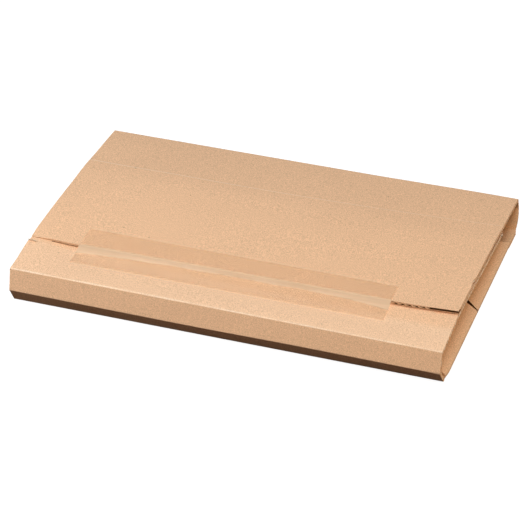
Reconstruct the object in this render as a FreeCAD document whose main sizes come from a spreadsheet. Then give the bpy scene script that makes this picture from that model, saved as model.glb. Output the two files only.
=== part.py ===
import FreeCAD, Part
import math
import os
import Sketcher
from FreeCAD import Placement, Rotation, Vector

# A mailer folded from one die-cut sheet of corrugated board and closed by one strip of clear tape.
# Millimetres. The front fold of the base is at y = 0 and the floor at z = 0 until the last step,
# which centres the folded box over the origin. The long way of the box is x.

os.makedirs("parts", exist_ok=True)
doc = FreeCAD.newDocument("mailer")
sheet = doc.addObject("Spreadsheet::Sheet", "sizes")

SIZES = {
    # the sheet and its panels, measured on the outer liner between folds
    "board": 3.0,
    "blank_length": 394.0,
    "wall_inset": 0.4,
    "base_depth": 235.5,
    "front_lower": 20.4,
    "front_upper": 19.7,
    "inner_to_seam": 49.0,
    "inner_lap": 146.0,
    "back_lower": 23.5,
    "back_upper": 9.9,
    "outer_rear": 76.7,
    "seam_gap": 0.3,
    "fold_round": 2.2,
    "fold_zone": 6.0,
    # how far each panel tilts at the left end, in degrees from upright or from level
    "left_front_lower_tilt": 29.6,
    "left_front_upper_tilt": 15.0,
    "left_inner_rise_tilt": 0.1,
    "left_inner_drop_tilt": 2.0,
    "left_back_lower_tilt": 23.8,
    "left_back_upper_tilt": 20.6,
    "left_outer_rear_tilt": 6.4,
    # the same at the right end, where the wings stand a little prouder
    "right_front_lower_tilt": 35.8,
    "right_front_upper_tilt": 18.7,
    "right_inner_rise_tilt": 5.9,
    "right_inner_drop_tilt": 4.0,
    "right_back_lower_tilt": 23.6,
    "right_back_upper_tilt": 20.6,
    "right_outer_rear_tilt": 5.4,
    # the two end flaps
    "flap_length": 33.2,
    "flap_clearance": 0.4,
    "flap_front_gap": 4.0,
    "flap_back_gap": 26.5,
    "flap_bevel": 26.0,
    "corner_overhang": 1.0,
    "corner_gap": 3.4,
    "slit_place": 101.5,
    "slit_foot": 1.0,
    "slit_mouth": 5.5,
    # the flutes, open along the seam, which is cut across them
    "flute_pitch": 6.2,
    "flute_liner": 0.4,
    "flute_medium": 0.5,
    "flute_tip": 0.5,
    "flute_depth": 2.5,
    "flute_margin": 3.0,
    # the tape
    "tape_film": 0.25,
    "tape_left": 151.0,
    "tape_right": 137.0,
    "tape_left_rear": 26.1,
    "tape_left_front": 23.0,
    "tape_right_rear": 22.2,
    "tape_right_front": 22.9,
    "tape_bridge": 4.5,
    "tape_lift": 0.1,
}


def aliased(cells, first_row):
    for row, (alias, value) in enumerate(cells.items(), start=first_row):
        sheet.set("A%d" % row, alias)
        sheet.set("B%d" % row, str(value))
        sheet.setAlias("B%d" % row, alias)
    doc.recompute()


aliased(SIZES, 1)


def size(alias):
    return float(sheet.get(alias))


def plane(body, role):
    return next(f for f in body.Origin.OriginFeatures if f.Role == role)


def newBody(name):
    body = doc.addObject("PartDesign::Body", name)
    body.Label = name
    return body


def newSketch(body, name, role, offset=Placement()):
    sketch = body.newObject("Sketcher::SketchObject", name)
    sketch.AttachmentSupport = [(plane(body, role), "")]
    sketch.MapMode = "FlatFace"
    sketch.AttachmentOffset = offset
    return sketch


def bind(sketch, constraint, name, expression):
    index = sketch.addConstraint(constraint)
    sketch.renameConstraint(index, name)
    sketch.setExpression("Constraints." + name, expression)
    return index


def closedLoop(sketch, points):
    """Lines from each point to the next and back to the first, joined at their ends."""
    count = len(points)
    for here, there in zip(points, points[1:] + points[:1]):
        sketch.addGeometry(Part.LineSegment(Vector(*here, 0), Vector(*there, 0)), False)
    for k in range(count):
        sketch.addConstraint(Sketcher.Constraint("Coincident", k, 2, (k + 1) % count, 1))


# The panels in the order in which the sheet runs. The front half starts at the free edge of the inner
# wing and ends on the base, and the back half starts on the base and ends at the free edge of the outer
# wing. Each panel has its length and its heading in the section, worked out from its tilt: 0 is towards
# the back and 90 is up. The fold zone is the strip of the base beside a fold.
def panels(side, end):
    if side == "front":
        return [
            ("inner_lap", "180 - sizes.%s_inner_drop_tilt" % end),
            ("inner_to_seam", "180 + sizes.%s_inner_rise_tilt" % end),
            ("front_upper", "270 - sizes.%s_front_upper_tilt" % end),
            ("front_lower", "270 + sizes.%s_front_lower_tilt" % end),
            ("fold_zone", "0"),
        ]
    return [
        ("fold_zone", "0"),
        ("back_lower", "90 - sizes.%s_back_lower_tilt" % end),
        ("back_upper", "90 + sizes.%s_back_upper_tilt" % end),
        ("outer_rear", "180 - sizes.%s_outer_rear_tilt" % end),
        ("outer_front", "180 - sizes.%s_outer_front_tilt" % end),
    ]


# corners of each half that are real folds, with a round outer liner
TIGHT_FOLDS = {"front": range(2, 5), "back": range(1, 4)}


def headingOf(expression):
    """The number that a heading's expression stands for."""
    words = expression.split()
    value = float(words[0])
    if len(words) == 3:
        lean = size(words[2].split(".")[1])
        value += lean if words[1] == "+" else -lean
    return value


def lineThrough(run, start):
    """Corners of a run of panels, each of its own length and heading."""
    corners = [start]
    for name, heading in run:
        angle = math.radians(headingOf(heading))
        corners.append(corners[-1] + Vector(math.cos(angle), math.sin(angle), 0) * size(name))
    return corners


def outerLine(side, end, panel_count=None):
    """Corners of the outer liner of one half, with the base's front fold at 0, 0."""
    run = panels(side, end)[:panel_count]
    if side == "back":
        return lineThrough(run, Vector(size("base_depth") - size("fold_zone"), 0, 0))
    line = lineThrough(run, Vector(0, 0, 0))
    return [corner - line[-2] for corner in line]


def innerLine(corners, thickness):
    """The same corners on the inner liner, one board thickness to the left of the way of travel."""
    ways = [(b - a).normalize() for a, b in zip(corners, corners[1:])]
    sides = [Vector(-w.y, w.x, 0) for w in ways]
    inner = [corners[0] + sides[0] * thickness]
    for k in range(1, len(corners) - 1):
        mitre = (sides[k - 1] + sides[k]).normalize()
        inner.append(corners[k] + mitre * (thickness / mitre.dot(sides[k])))
    inner.append(corners[-1] + sides[-1] * thickness)
    return inner


def seatedWing():
    """The outer wing's front part: it reaches to the seam and lies just clear of the inner wing."""
    values, lengths = {}, []
    for end in ("left", "right"):
        seat = innerLine(outerLine("front", end), -size("board") - size("seam_gap"))[1]
        reach = seat - outerLine("back", end, 4)[-1]
        lengths.append(reach.Length)
        values[end + "_outer_front_tilt"] = round(math.degrees(math.atan2(reach.y, -reach.x)), 4)
    values["outer_front"] = round(sum(lengths) / len(lengths), 4)
    return values


def roundedLine(corners, rounds):
    """Lines and tangent arcs through the corners, with the radius that rounds gives for a corner."""
    ways = [(b - a).normalize() for a, b in zip(corners, corners[1:])]
    starts, ends, arcs = list(corners[:-1]), list(corners[1:]), {}
    for k, radius in rounds.items():
        before, after = ways[k - 1], ways[k]
        setback = radius * math.tan(before.getAngle(after) / 2)
        ends[k - 1] = corners[k] - before * setback
        starts[k] = corners[k] + after * setback
        middle = corners[k] + (after - before).normalize() * (math.hypot(radius, setback) - radius)
        arcs[k] = Part.Arc(ends[k - 1], middle, starts[k])
    return list(zip(starts, ends)), arcs


def sectionSketch(body, side, end):
    """The section of one half at one end: a strip one board thick that bends at every fold.

    Construction lines hold the panels' lengths and headings. The outer liner follows them with a
    tangent arc at each sharp fold, and the inner liner runs one board inside them."""
    sketch = newSketch(body, "%s_%s_section" % (side, end), "YZ_Plane")
    place = "(sizes.blank_length / 2 - sizes.wall_inset)"
    sketch.setExpression("AttachmentOffset.Base.z", place if end == "right" else "-" + place)
    corners = outerLine(side, end)
    inner = innerLine(corners, size("board"))
    lines, arcs = roundedLine(corners, {k: size("fold_round") for k in TIGHT_FOLDS[side]})
    count = len(lines)

    for k in range(count):
        sketch.addGeometry(Part.LineSegment(corners[k], corners[k + 1]), True)
    for k in range(count - 1):
        sketch.addConstraint(Sketcher.Constraint("Coincident", k, 2, k + 1, 1))
    for k, (name, heading) in enumerate(panels(side, end)):
        bind(sketch, Sketcher.Constraint("Distance", k, size(name)), name, "sizes." + name)
        if name == "fold_zone":
            sketch.addConstraint(Sketcher.Constraint("Horizontal", k))
        else:
            degrees = headingOf(heading)
            turned = degrees if degrees <= 180 else degrees - 360
            wrapped = heading if degrees <= 180 else "%s - 360" % heading
            angle = Sketcher.Constraint("Angle", k, math.radians(turned))
            bind(sketch, angle, name + "_heading", "(%s) * 1 deg" % wrapped)
    if side == "front":
        sketch.addConstraint(Sketcher.Constraint("Coincident", count - 1, 1, -1, 1))
    else:
        sketch.addConstraint(Sketcher.Constraint("PointOnObject", 0, 2, -1))
        bind(sketch, Sketcher.Constraint("DistanceX", -1, 1, 0, 2, size("base_depth")), "base_depth",
             "sizes.base_depth")

    outline = [("line", 0)]
    for k in range(1, count):
        outline += [("arc", k), ("line", k)] if k in arcs else [("line", k)]
    for kind, k in outline:
        sketch.addGeometry(Part.LineSegment(*lines[k]) if kind == "line" else arcs[k], False)
    inside = inner[::-1]
    first_inside = count + len(outline)
    closing = [corners[-1]] + inside + [corners[0]]
    for here, there in zip(closing, closing[1:]):
        sketch.addGeometry(Part.LineSegment(here, there), False)
    last = first_inside + len(closing) - 2

    for place, (kind, k) in enumerate(outline, start=count):
        if kind == "arc":
            fold = Sketcher.Constraint("Radius", place, size("fold_round"))
            bind(sketch, fold, "round_%d" % k, "sizes.fold_round")
            sketch.addConstraint(Sketcher.Constraint("Tangent", place - 1, 2, place, 1))
            sketch.addConstraint(Sketcher.Constraint("Tangent", place, 2, place + 1, 1))
            continue
        if k not in arcs:
            sketch.addConstraint(Sketcher.Constraint("Coincident", place, 1, k, 1))
        if k + 1 not in arcs and k + 1 < count:
            sketch.addConstraint(Sketcher.Constraint("Coincident", place, 2, place + 1, 1))
        if k in arcs or k + 1 in arcs:
            sketch.addConstraint(Sketcher.Constraint("Parallel", place, k))
        if k in arcs and k + 1 in arcs:
            sketch.addConstraint(Sketcher.Constraint("PointOnObject", place, 1, k))
    for place in range(first_inside - 1, last):
        sketch.addConstraint(Sketcher.Constraint("Coincident", place, 2, place + 1, 1))
    sketch.addConstraint(Sketcher.Constraint("Coincident", last, 2, count, 1))
    sketch.addConstraint(Sketcher.Constraint("Coincident", first_inside, 1, count - 1, 2))
    for k, (name, heading) in enumerate(panels(side, end)):
        facing = last - 1 - k
        sketch.addConstraint(Sketcher.Constraint("Parallel", k, facing))
        board = Sketcher.Constraint("Distance", k, 1, facing, size("board"))
        bind(sketch, board, name + "_board", "sizes.board")
    sketch.addConstraint(Sketcher.Constraint("Perpendicular", count - 1, first_inside))
    sketch.addConstraint(Sketcher.Constraint("Perpendicular", 0, last))
    return sketch


def basePanel(body):
    """The flat base between the strips that belong to its front and back folds."""
    sketch = newSketch(body, "base_outline", "XY_Plane")
    half = size("blank_length") / 2 - size("wall_inset")
    near, far = size("fold_zone"), size("base_depth") - size("fold_zone")
    closedLoop(sketch, [(-half, near), (half, near), (half, far), (-half, far)])
    for k in (0, 2):
        sketch.addConstraint(Sketcher.Constraint("Horizontal", k))
    for k in (1, 3):
        sketch.addConstraint(Sketcher.Constraint("Vertical", k))
    half_text = "sizes.blank_length / 2 - sizes.wall_inset"
    bind(sketch, Sketcher.Constraint("DistanceX", -1, 1, 0, 2, half), "right_end", half_text)
    bind(sketch, Sketcher.Constraint("DistanceX", 0, 1, -1, 1, half), "left_end", half_text)
    bind(sketch, Sketcher.Constraint("DistanceY", -1, 1, 0, 1, near), "near", "sizes.fold_zone")
    bind(sketch, Sketcher.Constraint("DistanceY", -1, 1, 3, 1, far), "far",
         "sizes.base_depth - sizes.fold_zone")
    pad = body.newObject("PartDesign::Pad", "base_panel")
    pad.Profile = sketch
    pad.setExpression("Length", "sizes.board")
    doc.recompute()
    return pad


def foldedHalf(body, side):
    """A wall and its wing in one loft, because the folds stand at slightly other angles at each end."""
    left = sectionSketch(body, side, "left")
    right = sectionSketch(body, side, "right")
    doc.recompute()
    loft = body.newObject("PartDesign::AdditiveLoft", side + "_wall_and_wing")
    loft.Profile = left
    loft.Sections = [right]
    loft.Ruled = True
    doc.recompute()
    return loft


# the flap's hinge runs from its front gap to here
HINGE_END = "(sizes.base_depth - sizes.flap_back_gap)"


def endRelief(body):
    """The base stops at the crease where a flap turns up, so the walls' ends stay clear of it."""
    sketch = newSketch(body, "relief_outline", "XY_Plane")
    crease = size("blank_length") / 2 - size("board")
    near, far = size("flap_front_gap"), size("base_depth") - size("flap_back_gap")
    out = size("blank_length") / 2
    closedLoop(sketch, [(crease, near), (out, near), (out, far), (crease, far)])
    for k in (0, 2):
        sketch.addConstraint(Sketcher.Constraint("Horizontal", k))
    for k in (1, 3):
        sketch.addConstraint(Sketcher.Constraint("Vertical", k))
    bind(sketch, Sketcher.Constraint("DistanceX", -1, 1, 0, 1, crease), "crease",
         "sizes.blank_length / 2 - sizes.board")
    bind(sketch, Sketcher.Constraint("DistanceX", -1, 1, 0, 2, out), "outside", "sizes.blank_length / 2")
    bind(sketch, Sketcher.Constraint("DistanceY", -1, 1, 0, 1, near), "near", "sizes.flap_front_gap")
    bind(sketch, Sketcher.Constraint("DistanceY", -1, 1, 3, 1, far), "far", HINGE_END)
    cut = body.newObject("PartDesign::Pocket", "end_relief")
    cut.Profile = sketch
    cut.Reversed = True
    cut.setExpression("Length", "sizes.board")
    doc.recompute()
    return cut


def flapTilt():
    """Degrees above the base at which the leaf's free edge lies just under the inner wing."""
    board, leaf = size("board"), size("flap_length")
    under = min(innerLine(outerLine("front", end), board)[0].y for end in ("left", "right"))
    rise = under - size("flap_clearance") - board
    return math.degrees(math.asin(rise / math.hypot(leaf, board)) - math.atan2(board, leaf))


def flapProfile(body):
    """Section of the end flap: a round fold about the crease, then a flat leaf leaning inwards."""
    sketch = newSketch(body, "flap_profile", "XZ_Plane")
    sketch.setExpression("AttachmentOffset.Base.z", "-sizes.flap_front_gap")
    board, tilt = size("board"), math.radians(size("flap_tilt"))
    crease = Vector(size("blank_length") / 2 - board, board, 0)
    along = Vector(-math.cos(tilt), math.sin(tilt), 0)
    outward = Vector(math.sin(tilt), math.cos(tilt), 0)
    root = Vector(crease.x - board / 2, 0, 0)
    tip = crease + along * size("flap_length")
    points = [root, Vector(crease.x, 0, 0), crease + outward * board, tip + outward * board, tip, crease,
              Vector(root.x, board, 0)]
    lines = [(0, 1), None, (2, 3), (3, 4), (4, 5), (5, 6), (6, 0)]
    for k, ends in enumerate(lines):
        if ends:
            sketch.addGeometry(Part.LineSegment(points[ends[0]], points[ends[1]]), False)
        else:
            round_fold = Part.Circle(crease, Vector(0, 0, 1), board)
            arc = Part.ArcOfCircle(round_fold, -math.pi / 2, math.pi / 2 - tilt)
            sketch.addGeometry(arc, False)
    for k in range(len(lines)):
        joint = "Tangent" if k == 1 else "Coincident"
        sketch.addConstraint(Sketcher.Constraint(joint, k, 2, (k + 1) % len(lines), 1))
    sketch.addConstraint(Sketcher.Constraint("Coincident", 1, 3, 4, 2))
    sketch.addConstraint(Sketcher.Constraint("Horizontal", 0))
    sketch.addConstraint(Sketcher.Constraint("Horizontal", 5))
    sketch.addConstraint(Sketcher.Constraint("Vertical", 6))
    sketch.addConstraint(Sketcher.Constraint("Perpendicular", 2, 3))
    sketch.addConstraint(Sketcher.Constraint("Parallel", 2, 4))
    bind(sketch, Sketcher.Constraint("DistanceX", -1, 1, 4, 2, crease.x), "crease_x",
         "sizes.blank_length / 2 - sizes.board")
    bind(sketch, Sketcher.Constraint("DistanceX", -1, 1, 0, 2, crease.x), "fold_start",
         "sizes.blank_length / 2 - sizes.board")
    bind(sketch, Sketcher.Constraint("DistanceX", -1, 1, 0, 1, root.x), "root_x",
         "sizes.blank_length / 2 - sizes.board * 1.5")
    sketch.addConstraint(Sketcher.Constraint("PointOnObject", 0, 1, -1))
    bind(sketch, Sketcher.Constraint("DistanceY", -1, 1, 4, 2, board), "crease_z", "sizes.board")
    bind(sketch, Sketcher.Constraint("Distance", 4, size("flap_length")), "flap_length", "sizes.flap_length")
    bind(sketch, Sketcher.Constraint("Angle", 4, -tilt), "tilt", "-sizes.flap_tilt * 1 deg")
    pad = body.newObject("PartDesign::Pad", "end_flap")
    pad.Profile = sketch
    pad.Reversed = True
    pad.setExpression("Length", HINGE_END + " - sizes.flap_front_gap")
    doc.recompute()
    return pad


def flapCuts(body):
    """The wedge slit and the bevelled back corner, drawn on the leaf and cut through it."""
    tilt, board = size("flap_tilt"), size("board")
    crease = Vector(size("blank_length") / 2 - board, 0, board)
    sketch = newSketch(body, "flap_cuts", "XY_Plane",
                       Placement(crease, Rotation(Vector(0, 1, 0), 180 + tilt)))
    sketch.setExpression("AttachmentOffset.Base.x", "sizes.blank_length / 2 - sizes.board")
    sketch.setExpression("AttachmentOffset.Base.z", "sizes.board")
    sketch.setExpression("AttachmentOffset.Rotation.Angle", "(180 + sizes.flap_tilt) * 1 deg")
    reach = size("flap_length") + board
    foot, place, mouth = size("slit_foot"), size("slit_place"), size("slit_mouth")
    hinge, bevel = size("base_depth") - size("flap_back_gap"), size("flap_bevel")
    outlines = [
        [(foot, place), (reach, place - mouth / 2), (reach, place + mouth / 2)],
        [(0, hinge), (bevel, hinge - bevel), (reach, hinge - bevel), (reach, hinge + board),
         (0, hinge + board)],
    ]
    for points in outlines:
        first = sketch.GeometryCount
        for here, there in zip(points, points[1:] + points[:1]):
            sketch.addGeometry(Part.LineSegment(Vector(*here, 0), Vector(*there, 0)), False)
        for k in range(len(points)):
            following = first + (k + 1) % len(points)
            sketch.addConstraint(Sketcher.Constraint("Coincident", first + k, 2, following, 1))
    reach_text = "sizes.flap_length + sizes.board"
    bind(sketch, Sketcher.Constraint("DistanceX", -1, 1, 0, 1, foot), "slit_foot", "sizes.slit_foot")
    bind(sketch, Sketcher.Constraint("DistanceY", -1, 1, 0, 1, place), "slit_place", "sizes.slit_place")
    bind(sketch, Sketcher.Constraint("DistanceX", -1, 1, 1, 1, reach), "slit_reach", reach_text)
    bind(sketch, Sketcher.Constraint("DistanceY", 1, 1, 1, 2, mouth), "slit_mouth", "sizes.slit_mouth")
    sketch.addConstraint(Sketcher.Constraint("Vertical", 1))
    sketch.addConstraint(Sketcher.Constraint("Equal", 0, 2))
    sketch.addConstraint(Sketcher.Constraint("PointOnObject", 3, 1, -2))
    bind(sketch, Sketcher.Constraint("DistanceY", -1, 1, 3, 1, hinge), "hinge_end", HINGE_END)
    bind(sketch, Sketcher.Constraint("DistanceX", 3, 1, 3, 2, bevel), "bevel_rise", "sizes.flap_bevel")
    bind(sketch, Sketcher.Constraint("DistanceY", 3, 2, 3, 1, bevel), "bevel_run", "sizes.flap_bevel")
    sketch.addConstraint(Sketcher.Constraint("Horizontal", 4))
    sketch.addConstraint(Sketcher.Constraint("Vertical", 5))
    sketch.addConstraint(Sketcher.Constraint("Horizontal", 6))
    sketch.addConstraint(Sketcher.Constraint("Vertical", 7))
    bind(sketch, Sketcher.Constraint("DistanceX", -1, 1, 5, 1, reach), "bevel_reach", reach_text)
    bind(sketch, Sketcher.Constraint("DistanceY", 7, 2, 7, 1, board), "bevel_past", "sizes.board")
    cut = body.newObject("PartDesign::Pocket", "slit_and_bevel")
    cut.Profile = sketch
    cut.setExpression("Length", "sizes.board * 1.5")
    doc.recompute()
    return cut


def baseCorner(body):
    """The corner of the base behind the flap stands a little past the fold line."""
    sketch = newSketch(body, "corner_outline", "XY_Plane")
    inside = size("blank_length") / 2 - size("board")
    out = size("blank_length") / 2 + size("corner_overhang")
    near, far = size("base_depth") - size("flap_back_gap"), size("base_depth") - size("corner_gap")
    closedLoop(sketch, [(inside, near), (out, near), (out, far), (inside, far)])
    for k in (0, 2):
        sketch.addConstraint(Sketcher.Constraint("Horizontal", k))
    for k in (1, 3):
        sketch.addConstraint(Sketcher.Constraint("Vertical", k))
    bind(sketch, Sketcher.Constraint("DistanceX", -1, 1, 0, 1, inside), "inside",
         "sizes.blank_length / 2 - sizes.board")
    bind(sketch, Sketcher.Constraint("DistanceX", -1, 1, 0, 2, out), "outside",
         "sizes.blank_length / 2 + sizes.corner_overhang")
    bind(sketch, Sketcher.Constraint("DistanceY", -1, 1, 0, 1, near), "near", HINGE_END)
    bind(sketch, Sketcher.Constraint("DistanceY", -1, 1, 3, 1, far), "far",
         "sizes.base_depth - sizes.corner_gap")
    pad = body.newObject("PartDesign::Pad", "base_corner")
    pad.Profile = sketch
    pad.setExpression("Length", "sizes.board")
    doc.recompute()
    return pad


def mirroredEnd(body, features):
    """The left end has the same flap and corner, mirrored about the middle of the length."""
    mirror = body.newObject("PartDesign::Mirrored", "left_end")
    mirror.Originals = features
    mirror.MirrorPlane = (plane(body, "YZ_Plane"), [""])
    body.Tip = mirror
    doc.recompute()
    return mirror


def fluteOutlines(middle):
    """One pitch of the wave: a hollow under the upper liner, and one turned over half a pitch on."""
    high = size("board") / 2 - size("flute_liner")
    low = size("flute_medium") - high
    wide, narrow = size("flute_pitch") / 2 - size("flute_medium"), size("flute_tip")
    hollow = [(-wide, high), (wide, high), (narrow, low), (-narrow, low)]
    return [
        [middle + Vector(along + x, flip * y, 0) for x, y in hollow]
        for along, flip in ((0, 1), (size("flute_pitch") / 2, -1))
    ]


def openFlutes(body):
    """Flute openings along the outer wing's cut edge: one pair is cut, and a pattern repeats it."""
    ends = []
    for end in ("left", "right"):
        outer = outerLine("back", end)
        ends.append((outer[-1] + innerLine(outer, size("board"))[-1]) * 0.5)
    half = size("blank_length") / 2 - size("wall_inset")
    start, finish = Vector(-half, ends[0].y, 0), Vector(half, ends[1].y, 0)
    run = (finish - start).normalize()
    outside = min(ends[0].x, ends[1].x) - size("board")

    sketch = newSketch(body, "flute_outline", "XZ_Plane", Placement(Vector(0, 0, -outside), Rotation()))
    sketch.addGeometry(Part.LineSegment(start, finish), True)
    for corners in fluteOutlines(start + run * size("flute_margin")):
        for here, there in zip(corners, corners[1:] + corners[:1]):
            sketch.addGeometry(Part.LineSegment(here, there), False)
    for k in range(sketch.GeometryCount):
        sketch.addConstraint(Sketcher.Constraint("Block", k))
    cut = body.newObject("PartDesign::Pocket", "flute_opening")
    cut.Profile = sketch
    cut.setExpression("Length", "sizes.board + sizes.flute_depth")
    doc.recompute()

    count = int(((finish - start).Length - size("flute_margin") * 2) // size("flute_pitch"))
    row = body.newObject("PartDesign::LinearPattern", "flute_row")
    row.Originals = [cut]
    row.Direction = (sketch, ["Axis0"])
    row.Occurrences = count
    row.setExpression("Length", "sizes.flute_pitch * %d" % (count - 1))
    body.Tip = row
    doc.recompute()
    return row


def between(x):
    """Share of the way from the left section to the right one at this x."""
    half = size("blank_length") / 2 - size("wall_inset")
    return (x + half) / (2 * half)


def wingPoint(x, side, distance):
    """A point on a wing's outer face at this x, this far from the seam.

    The back half gives the outer wing behind the seam, and the front half the inner wing before it."""
    ends = []
    for end in ("left", "right"):
        line = outerLine(side, end)
        seam, other = (line[-1], line[-2]) if side == "back" else (line[1], line[2])
        ends.append(seam + (other - seam).normalize() * distance)
    share = between(x)
    return ends[0] * (1 - share) + ends[1] * share


def tapeSection(body, step, steps):
    """The film over the outer wing, down across the step at its cut edge, and on the inner wing."""
    share = step / steps
    lift, film = size("tape_lift"), size("tape_film")
    x = size("tape_right") * share - size("tape_left") * (1 - share)
    behind = size("tape_right_rear") * share + size("tape_left_rear") * (1 - share)
    ahead = size("tape_right_front") * share + size("tape_left_front") * (1 - share)
    rear = wingPoint(x, "back", behind)
    edge = wingPoint(x, "back", 0)
    landing = wingPoint(x, "front", size("tape_bridge"))
    front = wingPoint(x, "front", ahead)
    line = [front, landing, edge, rear]
    under = innerLine(line, lift)
    over = innerLine(line, lift + film)
    sketch = newSketch(body, "tape_section_%d" % step, "YZ_Plane")
    place = "sizes.tape_right * %d / %d - sizes.tape_left * %d / %d"
    sketch.setExpression("AttachmentOffset.Base.z", place % (step, steps, steps - step, steps))
    closedLoop(sketch, [(p.x, p.y) for p in under + over[::-1]])
    for k in range(len(line) * 2):
        sketch.addConstraint(Sketcher.Constraint("Block", k))
    return sketch


def clearTape():
    body = newBody("seam_tape")
    steps = 6
    sections = [tapeSection(body, step, steps) for step in range(steps + 1)]
    doc.recompute()
    loft = body.newObject("PartDesign::AdditiveLoft", "tape_strip")
    loft.Profile = sections[0]
    loft.Sections = sections[1:]
    loft.Ruled = True
    doc.recompute()
    return body


def foldedBlank():
    body = newBody("mailer_blank")
    basePanel(body)
    foldedHalf(body, "front")
    foldedHalf(body, "back")
    relief = endRelief(body)
    flap = flapProfile(body)
    cuts = flapCuts(body)
    corner = baseCorner(body)
    mirroredEnd(body, [relief, flap, cuts, corner])
    openFlutes(body)
    return body


def centred(bodies):
    """The whole box moves so that the middle of its footprint is over the origin."""
    box = FreeCAD.BoundBox()
    for body in bodies:
        box.add(body.Shape.BoundBox)
    for body in bodies:
        body.Placement = Placement(Vector(-box.Center.x, -box.Center.y, -box.ZMin), Rotation())
    doc.recompute()


worked_out = seatedWing()
worked_out["flap_tilt"] = round(flapTilt(), 4)
print("worked out:", worked_out)
aliased(worked_out, len(SIZES) + 1)
blank = foldedBlank()
tape = clearTape()
bodies = [blank, tape]
centred(bodies)

for thing in doc.Objects:
    if "Invalid" in thing.State or "Error" in thing.State:
        raise RuntimeError("%s did not compute: %s" % (thing.Name, thing.State))
for body in bodies:
    shape = body.Shape
    if shape.isNull() or not shape.isValid() or len(shape.Solids) != 1:
        raise RuntimeError("%s is not one valid solid" % body.Label)
for body in bodies:
    body.Shape.exportStep("parts/%s.step" % body.Label)
    box = body.Shape.BoundBox
    print(body.Label, "volume %.1f" % body.Shape.Volume)
    print("  from %.2f %.2f %.2f" % (box.XMin, box.YMin, box.ZMin),
          "to %.2f %.2f %.2f" % (box.XMax, box.YMax, box.ZMax))
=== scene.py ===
import math

import bpy
import numpy as np
from mathutils import Matrix, Vector


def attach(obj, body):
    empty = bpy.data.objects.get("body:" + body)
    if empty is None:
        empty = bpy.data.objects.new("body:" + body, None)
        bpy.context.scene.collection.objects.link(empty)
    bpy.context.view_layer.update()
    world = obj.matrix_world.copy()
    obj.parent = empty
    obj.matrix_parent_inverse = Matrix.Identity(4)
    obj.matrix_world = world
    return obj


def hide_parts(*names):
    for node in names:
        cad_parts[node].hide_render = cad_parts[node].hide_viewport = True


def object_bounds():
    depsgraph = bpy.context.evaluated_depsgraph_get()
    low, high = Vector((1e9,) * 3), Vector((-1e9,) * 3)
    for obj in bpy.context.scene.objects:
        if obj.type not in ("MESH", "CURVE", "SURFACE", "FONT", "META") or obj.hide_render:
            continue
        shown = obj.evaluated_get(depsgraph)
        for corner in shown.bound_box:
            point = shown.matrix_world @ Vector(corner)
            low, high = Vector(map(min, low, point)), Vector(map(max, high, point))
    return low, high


# A mailer folded from one sheet of corrugated board and closed with one strip of clear tape.
# Lengths are millimetres, y runs from the front fold of the base to the back, and mm and centreY
# carry them into the frame's metres.

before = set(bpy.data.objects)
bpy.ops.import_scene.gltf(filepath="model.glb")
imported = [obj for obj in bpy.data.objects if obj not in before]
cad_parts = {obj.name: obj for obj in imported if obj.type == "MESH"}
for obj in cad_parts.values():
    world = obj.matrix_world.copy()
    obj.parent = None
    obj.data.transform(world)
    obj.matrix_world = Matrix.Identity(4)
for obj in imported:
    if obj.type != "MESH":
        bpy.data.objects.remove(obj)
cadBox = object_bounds()
mm = 0.001
centreY = 116.56
print("frame loaded:", sorted(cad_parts))

sheetSizes = {
    "board": 3.0,
    "liner": 0.42,
    "halfLength": 196.6,        # the walls and wings stop here at both ends
    "creaseX": 195.0,           # where the end flaps turn up from the base
    "hingeStart": 4.0,
    "hingeEnd": 209.0,
    "taperStart": 200.0,        # before it the corner draws in to the crease
    "foldRound": 1.3,           # radius of the outer liner at a fold
    "innerRound": 0.6,
    "bendRound": 260.0,         # a wing only bends a little, and softly
    "openDepth": 7.0,           # how deep the flutes are modelled behind a cut edge
    "cornerOut": 198.0,         # the base's back corners stand past the fold line up to here
    "cornerEnd": 232.1,
    "rowStep": 1.7,
    "baseStep": 8.0,
    "columnStep": 7.0,
    "seamDip": 1.6,             # how far the tape holds the seam down between its open ends
    "dipRun": 46.0,
    "backLift": (0.25, 0.9),    # the top back fold stands a little prouder towards the right
    "bendDrop": 1.5,            # the outer wing sinks at its left end
    "creaseDrop": 1.15,
    "leftLift": 1.5,            # and the inner wing stands up there before the seam
    "ripple": 0.10,
    "gapFrom": 172.0,           # right of here the flutes are crushed and the wings part a little
    "gapDrop": 0.6,
    "cornerCrush": 1.2,         # the outer wing's left corner is pressed flat
    "dentAway": 52.0,           # the torn dent in the outer wing's right edge, from the seam
    "dentDepth": 1.3,
    # every panel in the order in which the sheet runs, with its length and its heading in the
    # section at the left and the right end: 0 is towards the back and 90 is up
    "panels": {
        "innerLap": (146.0, 178.0, 176.0),
        "innerToSeam": (49.0, 180.1, 185.9),
        "frontUpper": (19.7, 255.0, 251.3),
        "frontLower": (20.4, 299.6, 305.8),
        "base": (235.5, 360.0, 360.0),
        "backLower": (23.5, 426.2, 426.4),
        "backUpper": (9.9, 470.6, 470.6),
        "outerRear": (76.7, 533.6, 534.6),
        "outerFront": (121.66, 539.61, 537.4),
    },
}
panelNames = list(sheetSizes["panels"])


def smooth(share):
    # 3t^2 - 2t^3 between 0 and 1
    share = np.clip(share, 0.0, 1.0)
    return share * share * (3 - 2 * share)


def wander(u, v, seed):
    # a sum of five sines whose directions and phases come from the seed, between about -1 and 1
    rng = np.random.default_rng(seed)
    total = np.zeros(np.broadcast(u, v).shape)
    for order in range(5):
        turn = rng.uniform(0, math.tau)
        rate = 0.02 * 1.7 ** order
        total += np.sin((u * math.cos(turn) + v * math.sin(turn)) * rate + rng.uniform(0, math.tau)) / (order + 1.5)
    return total * 0.6


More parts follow.
